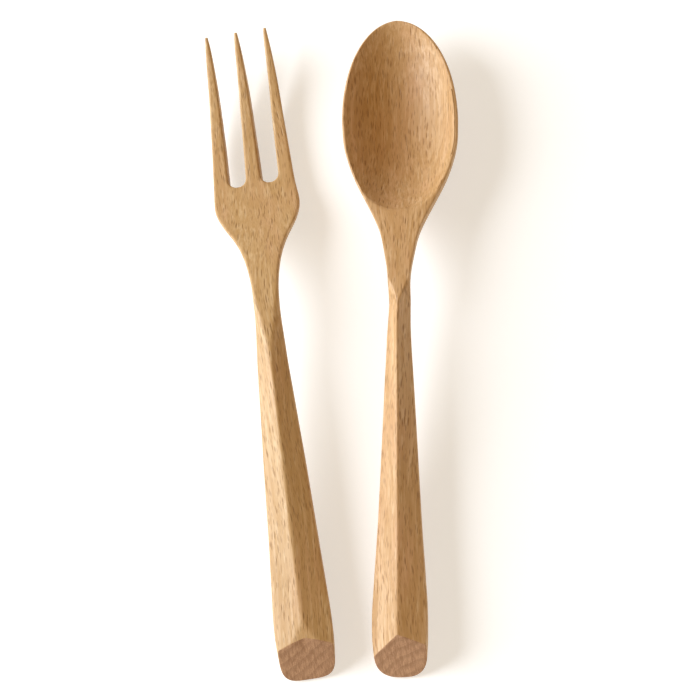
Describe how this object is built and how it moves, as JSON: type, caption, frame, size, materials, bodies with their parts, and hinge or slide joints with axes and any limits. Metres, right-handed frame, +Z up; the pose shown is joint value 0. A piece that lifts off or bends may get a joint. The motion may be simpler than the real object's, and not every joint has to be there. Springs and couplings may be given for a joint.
{
  "type": "wooden spoon and fork pair",
  "caption": "Beech dinner fork and spoon, each carved from one piece, with a faceted handle, a roof-shaped ridge and a slanted butt, lying flat side by side",
  "frame": {"origin": "centre of the bounding box at its base, on the surface that both pieces lie on", "axes": "+Z up, +Y along the pair from the handles' butts to the bowl and tines, +X to the right, with the spoon on the +X side"},
  "size_m": [0.0752, 0.2004, 0.0167],
  "materials": {
    "spoon": "sanded and oiled beech, satin",
    "fork": "sanded and oiled beech, satin"
  },
  "bodies": {
    "root": {"spoon": "spoon", "fork": "fork"}
  },
  "joints": []
}
